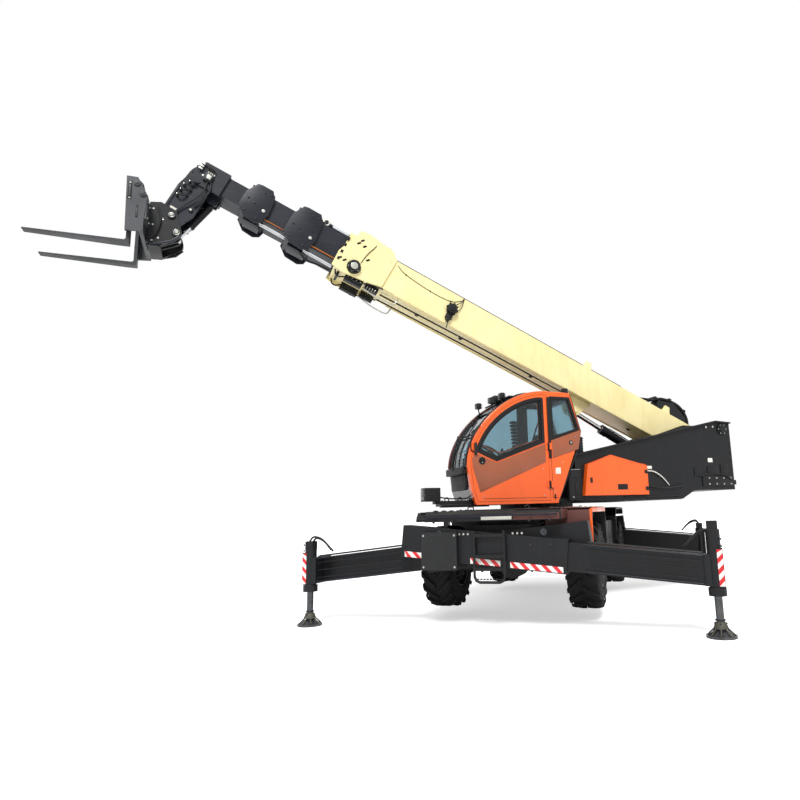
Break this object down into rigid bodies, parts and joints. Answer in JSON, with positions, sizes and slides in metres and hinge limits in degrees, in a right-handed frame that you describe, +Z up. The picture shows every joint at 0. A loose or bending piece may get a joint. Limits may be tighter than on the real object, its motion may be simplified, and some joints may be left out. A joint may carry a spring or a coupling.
{
  "type": "rotating telehandler",
  "caption": "Rotating telehandler on four outriggers, with a slewing turret, side cab, telescopic boom and pallet forks",
  "frame": {"origin": "on the ground at the centre of the machine's box as it stands, below the boom's plane", "axes": "+Z up; the boom points along -X; the cab is on the -Y side"},
  "size_m": [11.5267, 7.9514, 6.7964],
  "materials": {
    "black": "satin paint",
    "chrome": "polished",
    "cream": "gloss paint",
    "fabric": "woven",
    "fork": "worn dark paint",
    "glass": "tinted",
    "grey": "satin paint",
    "iron": "painted casting",
    "navy": "satin paint",
    "orange": "gloss paint",
    "plastic": "grained",
    "rubber": "moulded rubber"
  },
  "bodies": {
    "chassis": {"chassis_frame": "black", "slew_ring": "grey", "axle_front": "iron", "axle_rear": "iron", "outrigger_boxes_front": "black", "outrigger_boxes_rear": "black", "bodywork_front": "navy", "bodywork_rear": "navy", "side_tank_left": "black", "side_tank_right": "black", "front_ladder": "black", "jack_mat": "rubber"},
    "turret": {"turret_frame": "black", "side_panel": "black", "counterweight": "black", "engine_housing": "orange", "engine_block": "iron", "battery_box": "black", "front_lamp": "black", "cab_shell": "orange", "quarter_glass": "glass", "right_glass": "glass", "windscreen": "glass", "rear_glass": "glass", "seat_base": "plastic", "seat_cushion": "fabric", "dash_and_wheel": "plastic"},
    "boom": {"boom_base": "cream", "hose_tray": "black"},
    "section_2": {"boom_section_2": "navy"},
    "section_3": {"boom_section_3": "navy"},
    "section_4": {"boom_section_4": "navy"},
    "forks": {"coupler": "black", "fork_carriage": "grey", "fork_left": "fork", "fork_right": "fork"},
    "lift_barrel": {"lift_barrel": "black"},
    "lift_rod": {"lift_rod": "chrome"},
    "tilt_barrel": {"tilt_barrel": "black"},
    "tilt_rod": {"tilt_rod": "chrome"},
    "cab_door": {"cab_door": "orange", "door_glass": "glass"},
    "engine_lid": {"engine_lid": "orange"},
    "side_cover": {"side_cover": "orange"},
    "knuckle_front_left": {"knuckle_front_left": "iron"},
    "wheel_front_left": {"wheel_front_left": "rubber"},
    "beam_front_left": {"outrigger_beam_front_left": "black"},
    "jack_front_left": {"jack_front_left": "chrome"},
    "knuckle_front_right": {"knuckle_front_right": "iron"},
    "wheel_front_right": {"wheel_front_right": "rubber"},
    "beam_front_right": {"outrigger_beam_front_right": "black"},
    "jack_front_right": {"jack_front_right": "chrome"},
    "knuckle_rear_left": {"knuckle_rear_left": "iron"},
    "wheel_rear_left": {"wheel_rear_left": "rubber"},
    "beam_rear_left": {"outrigger_beam_rear_left": "black"},
    "jack_rear_left": {"jack_rear_left": "chrome"},
    "knuckle_rear_right": {"knuckle_rear_right": "iron"},
    "wheel_rear_right": {"wheel_rear_right": "rubber"},
    "beam_rear_right": {"outrigger_beam_rear_right": "black"},
    "jack_rear_right": {"jack_rear_right": "chrome"}
  },
  "joints": [
    {"name": "slew", "type": "hinge", "parent": "chassis", "child": "turret", "pos_m": [1.79263, 0, 0], "axis": [0, 0, 1], "continuous": true},
    {"name": "boom_lift", "type": "hinge", "parent": "turret", "child": "boom", "pos_m": [4.94263, 0, 2.8], "axis": [0, 1, 0], "range_deg": [-26, 45]},
    {"name": "telescope_1", "type": "slide", "parent": "boom", "child": "section_2", "axis": [-0.9121, 0, 0.4099], "range_m": [-0.32, 4.8]},
    {"name": "telescope_2", "type": "slide", "parent": "section_2", "child": "section_3", "axis": [-0.9121, 0, 0.4099], "range_m": [-0.32, 4.8]},
    {"name": "telescope_3", "type": "slide", "parent": "section_3", "child": "section_4", "axis": [-0.9121, 0, 0.4099], "range_m": [-0.32, 4.8]},
    {"name": "fork_tilt", "type": "hinge", "parent": "section_4", "child": "forks", "pos_m": [-4.05404, 0, 5.83462], "axis": [0, 1, 0], "range_deg": [-45, 25]},
    {"name": "lift_barrel_swing", "type": "hinge", "parent": "turret", "child": "lift_barrel", "pos_m": [4.64263, 0, 2.13], "axis": [0, 1, 0], "range_deg": [-25.18, 42.85]},
    {"name": "lift_rod_stroke", "type": "slide", "parent": "lift_barrel", "child": "lift_rod", "axis": [-0.8789, 0, 0.477], "range_m": [-0.433, 0.742]},
    {"name": "tilt_barrel_swing", "type": "hinge", "parent": "section_4", "child": "tilt_barrel", "pos_m": [-3.51528, 0, 6.22838], "axis": [0, 1, 0], "range_deg": [-9.1, 5.5]},
    {"name": "tilt_rod_stroke", "type": "slide", "parent": "tilt_barrel", "child": "tilt_rod", "axis": [-0.5748, 0, -0.8183], "range_m": [-0.206, 0.119]},
    {"name": "cab_door_swing", "type": "hinge", "parent": "turret", "child": "cab_door", "pos_m": [1.39263, -1.264, 0], "axis": [0, 0, 1], "range_deg": [0, 95]},
    {"name": "engine_lid_swing", "type": "hinge", "parent": "turret", "child": "engine_lid", "pos_m": [1.79263, 0.4303, 2.272], "axis": [1, 0, 0], "range_deg": [0, 75]},
    {"name": "side_cover_swing", "type": "hinge", "parent": "turret", "child": "side_cover", "pos_m": [3.21263, -1.1603, 0], "axis": [0, 0, 1], "range_deg": [0, 85]},
    {"name": "steer_front_left", "type": "hinge", "parent": "chassis", "child": "knuckle_front_left", "pos_m": [1.42928, -1.77527, 0.709], "axis": [0, 0, 1], "range_deg": [-28, 28]},
    {"name": "spin_front_left", "type": "hinge", "parent": "knuckle_front_left", "child": "wheel_front_left", "pos_m": [1.56353, -1.88753, 0.709], "axis": [0.7672, -0.6414, 0], "continuous": true},
    {"name": "steer_front_right", "type": "hinge", "parent": "chassis", "child": "knuckle_front_right", "pos_m": [0.10975, -0.67198, 0.709], "axis": [0, 0, 1], "range_deg": [-28, 28]},
    {"name": "spin_front_right", "type": "hinge", "parent": "knuckle_front_right", "child": "wheel_front_right", "pos_m": [-0.0245, -0.55973, 0.709], "axis": [0.7672, -0.6414, 0], "continuous": true},
    {"name": "steer_rear_left", "type": "hinge", "parent": "chassis", "child": "knuckle_rear_left", "pos_m": [3.4755, 0.67198, 0.709], "axis": [0, 0, 1], "range_deg": [-28, 28]},
    {"name": "spin_rear_left", "type": "hinge", "parent": "knuckle_rear_left", "child": "wheel_rear_left", "pos_m": [3.60975, 0.55973, 0.709], "axis": [0.7672, -0.6414, 0], "continuous": true},
    {"name": "steer_rear_right", "type": "hinge", "parent": "chassis", "child": "knuckle_rear_right", "pos_m": [2.15598, 1.77527, 0.709], "axis": [0, 0, 1], "range_deg": [-28, 28]},
    {"name": "spin_rear_right", "type": "hinge", "parent": "knuckle_rear_right", "child": "wheel_rear_right", "pos_m": [2.02172, 1.88753, 0.709], "axis": [0.7672, -0.6414, 0], "continuous": true},
    {"name": "beam_front_left", "type": "slide", "parent": "chassis", "child": "beam_front_left", "axis": [0.7632, -0.6382, -0.1011], "range_m": [-1.3, 0]},
    {"name": "jack_front_left", "type": "slide", "parent": "beam_front_left", "child": "jack_front_left", "axis": [0, 0, 1], "range_m": [0, 0.36]},
    {"name": "beam_front_right", "type": "slide", "parent": "chassis", "child": "beam_front_right", "axis": [-0.7632, 0.6382, -0.1011], "range_m": [-1.3, 0]},
    {"name": "jack_front_right", "type": "slide", "parent": "beam_front_right", "child": "jack_front_right", "axis": [0, 0, 1], "range_m": [0, 0.36]},
    {"name": "beam_rear_left", "type": "slide", "parent": "chassis", "child": "beam_rear_left", "axis": [0.7632, -0.6382, -0.1011], "range_m": [-1.3, 0]},
    {"name": "jack_rear_left", "type": "slide", "parent": "beam_rear_left", "child": "jack_rear_left", "axis": [0, 0, 1], "range_m": [0, 0.36]},
    {"name": "beam_rear_right", "type": "slide", "parent": "chassis", "child": "beam_rear_right", "axis": [-0.7632, 0.6382, -0.1011], "range_m": [-1.3, 0]},
    {"name": "jack_rear_right", "type": "slide", "parent": "beam_rear_right", "child": "jack_rear_right", "axis": [0, 0, 1], "range_m": [0, 0.36]}
  ],
  "couplings": [
    {"joint": "telescope_2", "follows": "telescope_1", "ratio": 1},
    {"joint": "telescope_3", "follows": "telescope_1", "ratio": 1},
    {"joint": "lift_barrel_swing", "follows": "boom_lift", "ratio": 0.93},
    {"joint": "lift_rod_stroke", "follows": "boom_lift", "m_per_rad": 0.9325},
    {"joint": "tilt_barrel_swing", "follows": "fork_tilt", "ratio": 0.18},
    {"joint": "tilt_rod_stroke", "follows": "fork_tilt", "m_per_rad": 0.25},
    {"joint": "steer_front_right", "follows": "steer_front_left", "ratio": 1},
    {"joint": "steer_rear_right", "follows": "steer_rear_left", "ratio": 1}
  ]
}
